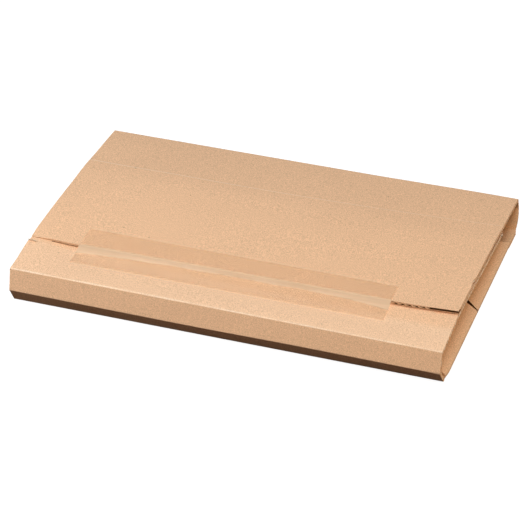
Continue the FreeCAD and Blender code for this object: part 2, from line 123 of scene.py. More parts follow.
def sectionCorners(end):
    # corners of the outer liner: each panel's length along its heading, added up, with corner 4,
    # the base's front fold, at 0, 0
    data = np.array([sheetSizes["panels"][name] for name in panelNames])
    angle = np.radians(data[:, 1 + end])
    steps = data[:, :1] * np.stack([np.cos(angle), np.sin(angle)], 1)
    corners = np.vstack([np.zeros(2), np.cumsum(steps, 0)])
    return corners - corners[panelNames.index("base")]


def offsetCorners(corners, distance):
    # each line moves to its left by the distance, and the corners stay on both moved lines
    ways = np.diff(corners, axis=0)
    ways /= np.linalg.norm(ways, axis=1)[:, None]
    sides = np.stack([-ways[:, 1], ways[:, 0]], 1)
    before = np.vstack([sides[:1], sides])
    after = np.vstack([sides, sides[-1:]])
    share = (1 + (before * after).sum(1))[:, None]
    return corners + (before + after) / share * distance


def stationShares(name):
    # even steps along a panel, with three closer ones beside each fold
    length = sheetSizes["panels"][name][0]
    close = np.array([0.0, 0.5, 1.2, 2.3])
    if name == "base":
        # and a pair of close ones at each jog of its end
        jogs = [sheetSizes["hingeStart"], sheetSizes["taperStart"], sheetSizes["hingeEnd"], sheetSizes["cornerEnd"]]
        pairs = np.array([jog + side for jog in jogs for side in (-0.06, 0.06)])
        even = np.arange(jogs[0] + 4.0, jogs[1] - 3.0, sheetSizes["baseStep"])
        return np.unique(np.concatenate([close, pairs, even, [203.0, 206.0, 217.0, 224.0], length - close])) / length
    step = sheetSizes["rowStep"]
    even = np.linspace(close[-1], length - close[-1], max(2, round((length - 2 * close[-1]) / step) + 1))
    return np.concatenate([close[:-1], even, length - close[-2::-1]]) / length


def sampleSection(corners, radii):
    # straight stretches by their stations, and at each corner an arc of its radius that touches
    # both lines: centre + radius * (cos, sin) turned from one side to the other
    ways = np.diff(corners, axis=0)
    ways /= np.linalg.norm(ways, axis=1)[:, None]
    turns = np.arccos(np.clip((ways[:-1] * ways[1:]).sum(1), -1, 1))
    setback = np.concatenate([[0], radii * np.tan(turns / 2), [0]])
    rows = []
    for k, name in enumerate(panelNames):
        length = sheetSizes["panels"][name][0]
        share = stationShares(name)
        start = corners[k] + ways[k] * setback[k]
        stop = corners[k + 1] - ways[k] * setback[k + 1]
        points = start + (stop - start) * share[:, None]
        side = np.array([-ways[k][1], ways[k][0]])
        rows.append(np.column_stack([points, np.full(len(share), k), share * length, np.tile(side, (len(share), 1))]))
        if k < len(panelNames) - 1:
            part = turns[k] * np.arange(1, 6) / 6
            spin = np.stack([side[0] * np.cos(part) - side[1] * np.sin(part),
                             side[0] * np.sin(part) + side[1] * np.cos(part)], 1)
            points = stop + side * radii[k] - spin * radii[k]
            rows.append(np.column_stack([points, np.full(5, k), np.full(5, length), spin]))
    return np.vstack(rows)


foldRadii = np.array([sheetSizes["bendRound"]] + [sheetSizes["foldRound"]] * 6 + [sheetSizes["bendRound"]])
innerRadii = np.array([sheetSizes["bendRound"]] + [sheetSizes["innerRound"]] * 6 + [sheetSizes["bendRound"]])
outerSections = [sampleSection(sectionCorners(end), foldRadii) for end in (0, 1)]
innerSections = [sampleSection(offsetCorners(sectionCorners(end), sheetSizes["board"]), innerRadii)
                 for end in (0, 1)]
rowPanel = outerSections[0][:, 2].astype(int)
rowAlong = outerSections[0][:, 3]
panelLengths = np.array([sheetSizes["panels"][name][0] for name in panelNames])
panelStarts = np.concatenate([[0], np.cumsum(panelLengths)[:-1]])
wingPanels = [panelNames.index(name) for name in ("innerLap", "innerToSeam", "outerFront")]


def seamDrop(x, panel, along):
    # the seam lies lower between the two open stretches: a smooth plateau along x, times a smooth
    # fade from the seam to the far side of each wing
    drop = sheetSizes["seamDip"] * smooth((sheetSizes["halfLength"] - np.abs(x)) / sheetSizes["dipRun"])
    onInner = panel == panelNames.index("innerToSeam")
    away = np.where(onInner, along, panelLengths[panel] - along)
    reach = np.where(onInner, panelLengths[panel], 121.0)
    drop = drop * smooth(1 - away / reach)
    # near the right end the inner wing sinks from the outer one
    inGap = smooth((x - sheetSizes["gapFrom"] + 4) / 10) * smooth((sheetSizes["halfLength"] - 1 - x) / 5)
    drop = drop + sheetSizes["gapDrop"] * inGap * smooth(1 - away / 30.0) * (panel != panelNames.index("outerFront"))
    return np.where(np.isin(panel, wingPanels), drop, 0.0)


def wingLift(x, panel, along):
    # the top back fold stands prouder to the right, and fades over the wing and the back wall
    low, more = sheetSizes["backLift"]
    fold = low + more * smooth((x - 50.0) / 120.0)
    upper = along / sheetSizes["panels"]["backUpper"][0]
    onRear, onFront = panel == panelNames.index("outerRear"), panel == panelNames.index("outerFront")
    lift = fold * np.where(onRear, smooth(1 - along / 70.0), np.where(panel == panelNames.index("backUpper"), upper, 0.0))
    # at the left end the outer wing sinks about its bend, by a bell curve of the distance
    away = np.where(onRear, panelLengths[panelNames.index("outerRear")] - along, along)
    sunk = np.exp(-(away / 42.0) ** 2) * smooth((-x - 96.0) / 100.0)
    lift = lift - sheetSizes["bendDrop"] * sunk * (onRear | onFront)
    # and the inner wing stands up before the seam, fading forwards and along the seam
    onInner = panel == panelNames.index("innerToSeam")
    raised = smooth((-x - 156.0) / 40.0) * smooth(1 - along / 46.0)
    behind = smooth((-x - 156.0) / 40.0) * smooth(1 - (panelLengths[0] - along) / 20.0) * (panel == 0)
    # the crease across the front wall lies lower in its left half
    onUpper, onLower = panel == panelNames.index("frontUpper"), panel == panelNames.index("frontLower")
    near = np.where(onUpper, along / 19.7, np.where(onLower, 1 - along / 20.4, 0.0))
    lift = lift - sheetSizes["creaseDrop"] * near * smooth((80.0 - x) / 110.0)
    return lift + sheetSizes["leftLift"] * (raised * onInner + behind)


def rippleAt(x, panel, along):
    # soft waves of the paper, fading to nothing at the base, which lies flat
    travel = panelStarts[panel] + along
    baseStart = panelStarts[panelNames.index("base")]
    clear = np.maximum(baseStart - travel, travel - baseStart - sheetSizes["panels"]["base"][0])
    return wander(x, travel, 11) * sheetSizes["ripple"] * smooth(clear / 12.0)


def placeRows(sections, x, rows):
    # between the sections of the two ends, point by point, in proportion to x, and then bent
    share = ((x + sheetSizes["halfLength"]) / (2 * sheetSizes["halfLength"]))[:, None, None]
    flat = sections[0][rows, :2] * (1 - share) + sections[1][rows, :2] * share
    side = sections[0][rows, 4:6] * (1 - share) + sections[1][rows, 4:6] * share
    panel, along = rowPanel[rows][None, :], rowAlong[rows][None, :]
    columns = np.broadcast_to(x[:, None], flat.shape[:2])
    ripple = rippleAt(columns, panel, along)
    y = flat[..., 0] + side[..., 0] * ripple - centreY
    z = flat[..., 1] + side[..., 1] * ripple - seamDrop(columns, panel, along) + wingLift(columns, panel, along)
    return np.stack([columns, y, z], -1)


def endColumns(half, step):
    # even columns with closer ones at both ends
    close = np.array([0.0, 0.7, 1.6, 3.0, 5.0])
    even = np.linspace(close[-1] - half, half - close[-1], round((2 * half - 2 * close[-1]) / step) + 1)
    return np.concatenate([close[:-1] - half, even, half - close[-2::-1]])


def boundaryLoop(columns, rows):
    # indices round a grid's edge: along its first row, up its last column, back and down
    grid = np.arange(columns * rows).reshape(columns, rows)
    return np.concatenate([grid[:, 0], grid[-1, 1:], grid[-2::-1, -1], grid[0, -2:0:-1]])


def slab(top, bottom, layers=(), slots=(0, 1, 2), paleShare=None, rimWear=None):
    # a closed wall between two grids of the same size: both faces, and a rim whose layers are
    # (share of the way down, move of each rim point); slots are the top's, bottom's and rim's
    columns, rows = top.shape[:2]
    grid = np.arange(columns * rows).reshape(columns, rows)
    face = np.stack([grid[:-1, :-1], grid[1:, :-1], grid[1:, 1:], grid[:-1, 1:]], -1).reshape(-1, 4)
    loop = boundaryLoop(columns, rows)
    topPoints, bottomPoints = top.reshape(-1, 3), bottom.reshape(-1, 3)
    points = [topPoints, bottomPoints]
    paleTone = [np.zeros(len(topPoints)) if paleShare is None else paleShare.reshape(-1), np.zeros(len(topPoints))]
    rimWorn = np.zeros(len(loop)) if rimWear is None else rimWear
    rings = [loop]
    count = len(topPoints) * 2
    for share, move in layers:
        points.append(topPoints[loop] * (1 - share) + bottomPoints[loop] * share + move)
        paleTone.append(rimWorn)
        rings.append(np.arange(count, count + len(loop)))
        count += len(loop)
    rings.append(loop + len(topPoints))
    quads = [face, (face + len(topPoints))[:, ::-1]]
    for above, below in zip(rings, rings[1:]):
        quads.append(np.stack([np.roll(above, -1), above, below, np.roll(below, -1)], -1))
    rimSlots = np.broadcast_to(slots[2], len(loop))
    slotOf = np.concatenate([np.full(len(face), slots[0]), np.full(len(face), slots[1]),
                             np.tile(rimSlots, len(rings) - 1)])
    points, quads = np.vstack(points), np.vstack(quads)
    corner = points[quads]
    # the volume by the divergence theorem: negative means that the faces point inwards
    volume = (np.cross(corner[:, 0], corner[:, 1]) * corner[:, 2]).sum() + (
        np.cross(corner[:, 0], corner[:, 2]) * corner[:, 3]).sum()
    if volume < 0:
        quads = quads[:, ::-1]
    return points, quads, slotOf, np.concatenate(paleTone)


def meshPiece(name, shells, materials, sharpAngle=40):
    # one mesh of all the shells, put in as whole arrays
    starts = np.cumsum([0] + [len(shell[0]) for shell in shells])
    points = np.vstack([shell[0] for shell in shells]) * mm
    points = np.clip(points, np.array(cadBox[0]), np.array(cadBox[1]))
    quads = np.vstack([shell[1] + start for shell, start in zip(shells, starts)]).astype(np.int32)
    mesh = bpy.data.meshes.new(name)
    mesh.vertices.add(len(points))
    mesh.vertices.foreach_set("co", points.astype(np.float32).ravel())
    mesh.loops.add(quads.size)
    mesh.loops.foreach_set("vertex_index", quads.ravel())
    mesh.polygons.add(len(quads))
    mesh.polygons.foreach_set("loop_start", np.arange(0, quads.size, 4, dtype=np.int32))
    mesh.polygons.foreach_set("material_index", np.concatenate([shell[2] for shell in shells]).astype(np.int32))
    mesh.update(calc_edges=True)
    for material in materials:
        mesh.materials.append(material)
    # how far each point turns paler: real wear on cut edges, painted highlights and sheen on the folds and the inner
    # wing, and on the tape its lifted stretch
    attribute = mesh.attributes.new("paleShare", "FLOAT", "POINT")
    attribute.data.foreach_set("value", np.concatenate([shell[3] for shell in shells]).astype(np.float32))
    mesh.shade_smooth()
    mesh.set_sharp_from_angle(angle=math.radians(sharpAngle))
    piece = bpy.data.objects.new(name, mesh)
    bpy.context.scene.collection.objects.link(piece)
    print("made", name, "with", len(quads) * 2, "triangles")
    return piece


def addNode(tree, kind, inputs=None, **settings):
    item = tree.nodes.new(kind)
    for key, value in settings.items():
        setattr(item, key, value)
    for key, value in (inputs or {}).items():
        if isinstance(value, bpy.types.NodeSocket):
            tree.links.new(value, item.inputs[key])
        else:
            item.inputs[key].default_value = value
    return item


def maths(tree, operation, first, second=0.0, third=0.0):
    return addNode(tree, "ShaderNodeMath", {0: first, 1: second, 2: third}, operation=operation).outputs[0]


def mixColours(tree, factor, first, second, blend="MIX"):
    return addNode(tree, "ShaderNodeMix", {0: factor, 6: first, 7: second},
                   data_type="RGBA", blend_type=blend).outputs[2]


def ramp(tree, value, low, high):
    return addNode(tree, "ShaderNodeMapRange", {0: value, 1: low, 2: high, 3: 0.0, 4: 1.0}).outputs[0]


paperGrain = {
    "fibre": 1400.0,            # noise cells to the metre
    "speck": 260.0,
    "cloud": 16.0,
    "flutePitch": 6.2,
    "fibreTone": 1.30,          # how strongly each one darkens and lightens the paper
    "pulpTone": 0.12,
    "scoreHighlight": (0.062, 0.0242, 0.157),    # the pale line across the top: y = a + b x + c x^2, metres
    "scoreHalf": 0.00055,
}


def makePaperGroup():
    # kraft paper: short fibres lying mostly along the flutes, clouds, dark specks and the faint
    # stripes of the flutes under the liner
    group = bpy.data.node_groups.new("kraftPaper", "ShaderNodeTree")
    for name, kind, value in (("Paper", "NodeSocketColor", (0.75, 0.49, 0.30, 1)),
                              ("WornAndLit", "NodeSocketColor", (0.93, 0.76, 0.56, 1)),
                              ("WearAndHighlight", "NodeSocketFloat", 0.0), ("Grain", "NodeSocketFloat", 1.0),
                              ("Stripes", "NodeSocketFloat", 1.0), ("ScoreHighlight", "NodeSocketFloat", 0.0)):
        group.interface.new_socket(name, in_out="INPUT", socket_type=kind).default_value = value
    for name, kind in (("Colour", "NodeSocketColor"), ("Roughness", "NodeSocketFloat"), ("Height", "NodeSocketFloat")):
        group.interface.new_socket(name, in_out="OUTPUT", socket_type=kind)
    given = addNode(group, "NodeGroupInput").outputs
    place = addNode(group, "ShaderNodeTexCoord").outputs["Object"]
    longways = addNode(group, "ShaderNodeMapping", {"Vector": place, "Scale": (1.0, 0.55, 1.0)}).outputs[0]
    fibre = addNode(group, "ShaderNodeTexNoise", {"Vector": longways, "Scale": paperGrain["fibre"], "Detail": 3.0,
                                                  "Roughness": 0.6}).outputs["Fac"]
    pulp = addNode(group, "ShaderNodeTexNoise", {"Vector": place, "Scale": paperGrain["fibre"] * 0.4, "Detail": 2.0,
                                                 "Roughness": 0.6}).outputs["Fac"]
    cloud = addNode(group, "ShaderNodeTexNoise", {"Vector": place, "Scale": paperGrain["cloud"], "Detail": 3.0,
                                                  "Roughness": 0.55}).outputs["Fac"]
    cells = addNode(group, "ShaderNodeTexVoronoi", {"Vector": place, "Scale": paperGrain["speck"]})
    near = maths(group, "LESS_THAN", cells.outputs["Distance"], 0.20)
    chosen = addNode(group, "ShaderNodeSeparateColor", {0: cells.outputs["Color"]}).outputs[0]
    speck = maths(group, "MULTIPLY", near, maths(group, "GREATER_THAN", chosen, 0.994))
    split = addNode(group, "ShaderNodeSeparateXYZ", {0: place}).outputs
    along = split[0]
    stripe = maths(group, "SINE", maths(group, "MULTIPLY", along, math.tau / (paperGrain["flutePitch"] * mm)))
    stripe = maths(group, "MULTIPLY", stripe, given["Stripes"])

    tone = maths(group, "MULTIPLY_ADD", maths(group, "SUBTRACT", fibre, 0.5), paperGrain["fibreTone"], 1.0)
    tone = maths(group, "MULTIPLY_ADD", maths(group, "SUBTRACT", pulp, 0.5), paperGrain["pulpTone"], tone)
    tone = maths(group, "MULTIPLY_ADD", maths(group, "SUBTRACT", cloud, 0.5), 0.07, tone)
    tone = maths(group, "MULTIPLY_ADD", stripe, 0.006, tone)
    tone = maths(group, "MULTIPLY_ADD", maths(group, "SUBTRACT", tone, 1.0), given["Grain"], 1.0)
    scaled = addNode(group, "ShaderNodeCombineColor", {0: tone, 1: tone, 2: tone}).outputs[0]
    colour = mixColours(group, 1.0, given["Paper"], scaled, "MULTIPLY")
    colour = mixColours(group, maths(group, "MULTIPLY", speck, 0.55), colour, (0.16, 0.09, 0.05, 1))
    # patchy paling towards the WornAndLit colour: real wear on cut edges, and painted highlights and sheen on the
    # folds and the inner wing
    patchy = maths(group, "MULTIPLY", given["WearAndHighlight"], ramp(group, fibre, 0.25, 0.6))
    colour = mixColours(group, patchy, colour, given["WornAndLit"])
    # an old score across the wing gets a painted highlight along its ridge: a thin pale line that fades to the right
    start, slope, bend = paperGrain["scoreHighlight"]
    course = maths(group, "MULTIPLY_ADD", along, maths(group, "MULTIPLY_ADD", along, bend, slope), start)
    away = maths(group, "ABSOLUTE", maths(group, "SUBTRACT", split[1], course))
    line = maths(group, "SUBTRACT", 1.0, ramp(group, away, 0.0, paperGrain["scoreHalf"]))
    fade = ramp(group, along, 0.42, -0.15)
    line = maths(group, "MULTIPLY", maths(group, "MULTIPLY", line, fade), given["ScoreHighlight"])
    line = maths(group, "MULTIPLY", line, maths(group, "GREATER_THAN", split[2], 0.03))
    colour = mixColours(group, line, colour, given["WornAndLit"])
    height = maths(group, "MULTIPLY_ADD", fibre, 0.6, maths(group, "MULTIPLY", pulp, 0.5))
    height = maths(group, "MULTIPLY_ADD", stripe, 0.10, height)
    rough = maths(group, "MULTIPLY_ADD", fibre, 0.16, 0.68)
    addNode(group, "NodeGroupOutput", {"Colour": colour, "Roughness": rough, "Height": height})
    return group


paperGroup = makePaperGroup()


def newMaterial(name):
    material = bpy.data.materials.new(name)
    material.use_nodes = True
    material.node_tree.nodes.clear()
    return material, material.node_tree


def paperMaterial(name, paper, paleTone, grain=1.0, stripes=1.0, paleFrom=None, bump=0.00006, scoreHighlight=0.0, dots=False):
    material, tree = newMaterial(name)
    look = addNode(tree, "ShaderNodeGroup", node_tree=paperGroup)
    look.inputs["Paper"].default_value = (*paper, 1)
    look.inputs["WornAndLit"].default_value = (*paleTone, 1)
    look.inputs["Grain"].default_value = grain
    look.inputs["Stripes"].default_value = stripes
    look.inputs["ScoreHighlight"].default_value = scoreHighlight
    if paleFrom:
        paleShare = addNode(tree, "ShaderNodeAttribute", attribute_name=paleFrom).outputs["Fac"]
        if dots:
            # torn white dots about every 4 mm: a sine of y, shifted by a noise
            place = addNode(tree, "ShaderNodeTexCoord").outputs["Object"]
            shift = addNode(tree, "ShaderNodeTexNoise", {"Vector": place, "Scale": 300.0}).outputs["Fac"]
            way = addNode(tree, "ShaderNodeSeparateXYZ", {0: place}).outputs[1]
            wave = maths(tree, "SINE", maths(tree, "MULTIPLY_ADD", way, math.tau / 0.0041,
                                             maths(tree, "MULTIPLY", shift, 5.0)))
            paleShare = maths(tree, "MULTIPLY", paleShare, ramp(tree, wave, -0.1, 0.35))
        tree.links.new(paleShare, look.inputs["WearAndHighlight"])
    normal = addNode(tree, "ShaderNodeBump", {"Height": look.outputs["Height"], "Distance": bump, "Strength": 0.7})
    shader = addNode(tree, "ShaderNodeBsdfPrincipled", {
        "Base Color": look.outputs["Colour"], "Roughness": look.outputs["Roughness"],
        "Normal": normal.outputs[0], "Specular IOR Level": 0.08})
    addNode(tree, "ShaderNodeOutputMaterial", {"Surface": shader.outputs[0]})
    return material


linerOutside = paperMaterial("linerOutside", (0.75, 0.482, 0.303), (0.86, 0.74, 0.60), paleFrom="paleShare", scoreHighlight=0.70)
# painted light: the inner liner is paler than the outer one, so that the shaded inside of the box reads brighter
linerInsidePaintedLight = paperMaterial("linerInsidePaintedLight", (0.80, 0.51, 0.30), (0.9, 0.7, 0.5))
cutEdge = paperMaterial("cutEdge", (0.72, 0.45, 0.27), (1.0, 0.94, 0.84), grain=1.2, stripes=0.0,
                        paleFrom="paleShare", bump=0.0002, dots=True)
fluteMedium = paperMaterial("fluteMedium", (0.66, 0.42, 0.26), (0.9, 0.7, 0.5), grain=0.8, stripes=0.0)
# painted shade: a near black paper for the faces inside the flute hollows and in the slit, where shade falls
paintedHollowShade = paperMaterial("paintedHollowShade", (0.13, 0.06, 0.028), (0.3, 0.2, 0.12), grain=0.8, stripes=0.0)
tornPaper = paperMaterial("tornPaper", (0.84, 0.72, 0.58), (0.9, 0.8, 0.68), grain=0.8, stripes=0.0)
print("paper materials ready")


def rimHollows(top, bottom, depth, seed, panels):
    # the two liners stay proud and the fluted layer between them is torn back by an uneven depth,
    # which is small at the right end
    columns, rows = top.shape[:2]
    loop = boundaryLoop(columns, rows)
    x = top.reshape(-1, 3)[loop, 0]
    panel = np.broadcast_to(panels, top.shape[:2]).reshape(-1)[loop]
    atEnd = np.abs(x) > sheetSizes["creaseX"] - 1.0
    rng = np.random.default_rng(seed)
    inward = np.zeros((len(loop), 3))
    inward[:, 0] = -np.sign(x) * atEnd
    flush = x > 0
    inward[flush] *= 0.15
    upper, middle, lower = (inward * (depth * low + depth * (1 - low) * rng.random(len(loop)))[:, None]
                            for low in (0.35, 0.0, 0.35))
    lip = sheetSizes["liner"] / sheetSizes["board"]
    return [(lip, 0 * inward), (lip + 0.02, upper), (0.5, middle), (0.98 - lip, lower), (1 - lip, 0 * inward)]


def foldHighlightAndWear(x, rows):
    # painted highlight on the round of a fold, where it faces the lamps, with patchy wear in it: paler paper there,
    # most on the front top fold
    amount = np.zeros((len(x), len(rows)))
    share = ((x + sheetSizes["halfLength"]) / (2 * sheetSizes["halfLength"]))[:, None]
    patchy = 0.85 + 0.3 * wander(x * 6, x * 0, 31)[:, None]
    strength = {"innerToSeam": 0.62 * patchy, "frontUpper": 0.08, "backUpper": 0.10,
                "outerRear": 0.0}
    for name, value in strength.items():
        k = panelNames.index(name)
        onFold = (rowPanel[rows] == k) & (rowAlong[rows] >= panelLengths[k] - 0.01)
        amount = np.where(onFold[None, :], value, amount)
    # painted light and sheen: the part of the inner wing before the seam is a little paler all over, and more so
    # towards the right
    front = (rowPanel[rows] == panelNames.index("innerToSeam")) & (amount[0] == 0)
    return np.where(front[None, :], 0.14 + 0.10 * share, amount)


def trimEnds(grid, rows):
    # the base stops at the crease of the end flaps, its back corners stand out a little, and a cut
    # edge is a little ragged, with one torn dent on the outer wing
    panel, y = rowPanel[rows], grid[0, :, 1] + centreY
    onBase = panel == panelNames.index("base")
    stop = np.full(len(rows), sheetSizes["halfLength"])
    stop[onBase & (y > sheetSizes["hingeStart"]) & (y < sheetSizes["hingeEnd"])] = sheetSizes["creaseX"]
    drawn = np.interp(y, [sheetSizes["taperStart"], sheetSizes["hingeEnd"]], [sheetSizes["creaseX"], sheetSizes["cornerOut"]])
    stop = np.where(onBase & (y > sheetSizes["taperStart"]) & (y < sheetSizes["cornerEnd"]), drawn, stop)
    stop = np.broadcast_to(stop, grid.shape[:2]).copy()
    # the left edge stands out a little before the seam and at the foot of the front wall
    along = rowAlong[rows]
    seamEnd = (panel == panelNames.index("innerToSeam")) * smooth(1 - along / 40.0)
    foot = (panel == panelNames.index("frontLower")) * smooth(along / 20.4) + onBase * (y < sheetSizes["hingeStart"])
    stop = stop + np.where(grid[..., 0] < 0, 0.8 * np.maximum(seamEnd, foot), 0.0)
    stop = stop + np.where(grid[..., 0] > 0, 0.9 * (panel == panelNames.index("backLower")) * np.sin(np.pi * np.clip(along / 23.5, 0, 1)), 0.0)
    x = grid[..., 0]
    start = sheetSizes["creaseX"] - 6.0
    share = np.clip((np.abs(x) - start) / (sheetSizes["halfLength"] - start), 0, 1)
    over = share > 0
    rng = np.random.default_rng(5)
    ragged = rng.random((2, len(rows))) * 0.16 * ~onBase
    away = panelLengths[-1] - rowAlong[rows]
    torn = (0.75 + 0.25 * rng.random(len(rows))) * np.exp(-((away - sheetSizes["dentAway"]) / 5.0) ** 2)
    ragged[1] += sheetSizes["dentDepth"] * torn * (panel == len(panelNames) - 1)
    edge = np.where(x > 0, ragged[1], ragged[0]) * smooth(share * 1.4 - 0.4)
    grid[..., 0] = np.where(over, np.sign(x) * (start + share * (stop - start) - edge), x)
    return grid


def endRimWear(top, rows):
    # pale torn spots along the right cut edge of the inner wing, and a few on the other edges
    loop = boundaryLoop(*top.shape[:2])
    row = np.broadcast_to(rows, top.shape[:2]).reshape(-1)[loop]
    x = top.reshape(-1, 3)[loop, 0]
    panel, along = rowPanel[row], rowAlong[row]
    onInner = np.isin(panel, wingPanels[:2]) & (x > sheetSizes["creaseX"])
    onFront = np.isin(panel, [panelNames.index("frontUpper"), panelNames.index("frontLower")])
    onOuter = (panel >= len(panelNames) - 2) & (x > 0)
    return np.where(onInner, 1.4, np.where(onFront & (x > 0), 0.9, np.where(onOuter, 0.7, 0.15)))


def makeSheet():
    x = endColumns(sheetSizes["halfLength"], sheetSizes["columnStep"])
    rows = np.arange(len(rowPanel))
    freeInner = np.where(rowPanel == 0, rowAlong, 1e3)
    freeOuter = np.where(rowPanel == len(panelNames) - 1, panelLengths[-1] - rowAlong, 1e3)
    shells = []
    outer = trimEnds(placeRows(outerSections, x, rows), rows)
    inner = trimEnds(placeRows(innerSections, x, rows), rows)
    # the left corner of the outer wing is pressed down onto the inner wing
    pressed = smooth((-x - 178.0) / 12.0)[:, None] * smooth(1 - freeOuter / 16.0)[None, :]
    outer[..., 2] -= sheetSizes["cornerCrush"] * pressed
    paleShare = foldHighlightAndWear(x, rows)
    first = int(np.argmin(np.abs(freeInner - sheetSizes["openDepth"])))
    last = int(np.argmin(np.abs(freeOuter - sheetSizes["openDepth"])))
    middle = slice(first, last + 1)
    shells.append(slab(outer[:, middle], inner[:, middle], rimHollows(outer[:, middle], inner[:, middle], 1.1, 3, rowPanel[middle]),
                       (0, 1, 2), paleShare[:, middle], endRimWear(outer[:, middle], rows[middle])))
    through = inner - outer
    through /= np.linalg.norm(through, axis=-1, keepdims=True)
    lip = sheetSizes["liner"]
    # beside the seam the faces that look into the flute hollows get painted shade (slot 4); beside the inner lap they
    # get the cut edge paper
    for strip, inside in ((slice(0, first + 1), 2), (slice(last, len(rows)), 4)):
        shells.append(slab(outer[:, strip], outer[:, strip] + through[:, strip] * lip, (), (0, inside, 0), paleShare[:, strip]))
        shells.append(slab(inner[:, strip] - through[:, strip] * lip, inner[:, strip], (), (inside, 1, 2)))
    return shells, first, last


def makeMedium(first, last):
    # the wave between the liners: half the free height times a sine of the flute pitch along x.
    # Its rising side is thicker, because there the camera sees along the wall of the flute.
    shells = []
    lip = sheetSizes["liner"] / sheetSizes["board"]
    for strip, seamEdge in ((np.arange(0, first + 1), False), (np.arange(last, len(rowPanel)), True)):
        stop = sheetSizes["gapFrom"] if seamEdge else sheetSizes["halfLength"]
        x = np.arange(-sheetSizes["halfLength"] + 0.5, stop - 0.5, 0.62)
        turn = math.tau * x / paperGrain["flutePitch"] + wander(x, x * 0 + 3.0, 21) * 0.5
        pressed = sheetSizes["cornerCrush"] * smooth((-x - 178.0) / 12.0) / sheetSizes["board"] * seamEdge
        outer = placeRows(outerSections, x, strip)
        inner = placeRows(innerSections, x, strip)
        filled = smooth((-x - 140) / 12) * seamEdge
        swing = (0.5 - lip - 0.05) * np.sin(turn) * (1 - 2.4 * pressed) * (1 - 0.85 * filled)
        swing = swing * (1 - 0.35 * smooth((x - 130) / 10) * seamEdge)
        height = 0.5 + pressed * 0.5 + swing
        centre = outer + (inner - outer) * height[:, None, None]
        half = (inner - outer) * (0.06 + (0.15 * smooth(np.cos(turn)) + 0.05 * smooth((x - 130) / 10)) * seamEdge * (1 - filled) + 0.16 * filled)[:, None, None]
        # the wave's own edge stands back from the liners
        tip = -1 if seamEdge else 0
        centre[:, tip, 1] += 0.35 if seamEdge else -0.35
        shells.append(slab(centre - half, centre + half, (), (3, 3, 3)))
    return shells


flapSizes = {
    "length": 33.2,
    "tilt": 40.07,
    "bevel": 26.0,
    "slitPlace": 101.5,
    "slitFoot": 2.5,
    "slitMouth": (0.8, 7.6),    # how wide it is at its foot and at its mouth
}


def flapSection():
    # a round fold about the crease, then the flat leaf
    board, tilt = sheetSizes["board"], math.radians(flapSizes["tilt"])
    crease = np.array([sheetSizes["creaseX"], board])
    along = np.array([-math.cos(tilt), math.sin(tilt)])
    outward = np.array([math.sin(tilt), math.cos(tilt)])
    angle = np.linspace(-math.pi / 2, math.pi / 2 - tilt, 14)
    ring = np.stack([np.cos(angle), np.sin(angle)], 1)
    # below the middle the fold is squarer than a circle: a rounded square of power 3
    square = ring / (np.abs(ring) ** 3).sum(1, keepdims=True) ** (1 / 3)
    outer = np.where(angle[:, None] < 0, square, ring)
    reach = np.linspace(0, 1, 16)[1:, None] * flapSizes["length"]
    outside = np.vstack([crease + outer * board, crease + outward * board + along * reach])
    inside = np.vstack([crease + ring * 0.15, crease + along * reach])
    # how far each point lies from the crease along the leaf
    distance = np.concatenate([np.zeros(14), reach[:, 0]])
    return outside, inside, distance


def makeFlap(side):
    # two leaves on one fold: the slit's wedge parts them, and the rear one has a bevelled corner
    outside, inside, distance = flapSection()
    reach = flapSizes["length"] + sheetSizes["board"]
    # the slit starts on the round of the fold, 2.5 mm along its arc, and widens evenly
    arc = distance + sheetSizes["board"] * np.minimum(np.arange(len(distance)), 13) * (math.pi - math.radians(flapSizes["tilt"])) / 13
    opening = (arc - flapSizes["slitFoot"]) / (reach - flapSizes["slitFoot"])
    foot, mouth = flapSizes["slitMouth"]
    wedge = np.where(opening > 0, foot + (mouth - foot) * opening, 0.1) / 2
    rear = sheetSizes["hingeEnd"] - np.minimum(distance, flapSizes["bevel"])
    shells = []
    for low, high in ((0 * distance + sheetSizes["hingeStart"], flapSizes["slitPlace"] - wedge),
                      (flapSizes["slitPlace"] + wedge, rear)):
        share = np.linspace(0, 1, 60)[:, None]
        y = low + (high - low) * share - centreY
        drawn = 1.0 * smooth(1 - (y + centreY - sheetSizes["hingeStart"]) / 9.0)
        faces = [np.stack([(line[:, 0] - drawn) * side, y,
                           np.broadcast_to(line[:, 1], y.shape)], -1) for line in (outside, inside)]
        # painted highlight: a pale band along the outermost part of the fold's round, where it catches the light
        paleTone = np.broadcast_to(0.30 * np.exp(-((np.arange(len(distance)) - 9) / 3.0) ** 2), y.shape)
        loop = boundaryLoop(*faces[0].shape[:2])
        column = loop // len(distance)
        inSlit = column == (59 if high is not rear else 0)
        atFront = (column == 0) & (high is not rear)
        # the slit's cut faces get painted shade, for the dark inside of the box seen through the slit, and the front
        # end gets the cut edge paper
        rim = np.where(inSlit, 4, np.where(atFront, 2, 0))
        shells.append(slab(faces[0], faces[1], (), (0, 1, rim), paleTone))
    return shells


# small torn bits of the outer liner: place, long way, short way and how far each curls up
tornBits = (
    ((170.4, -69.9, 40.6), (2.6, -0.6, 0.3), (0.3, 1.5, 0.9), 0.5),
    ((196.4, 66.4, 29.2), (0.9, 1.0, 0.3), (0.2, 2.6, -0.4), 0.7),
    ((196.2, -25.0, 42.0), (0.5, 2.2, -0.1), (0.8, -0.3, 0.5), 0.5),
    ((-193.6, -78.6, 39.6), (4.6, -0.4, 0.1), (0.3, -1.8, 0.7), 0.8),
)


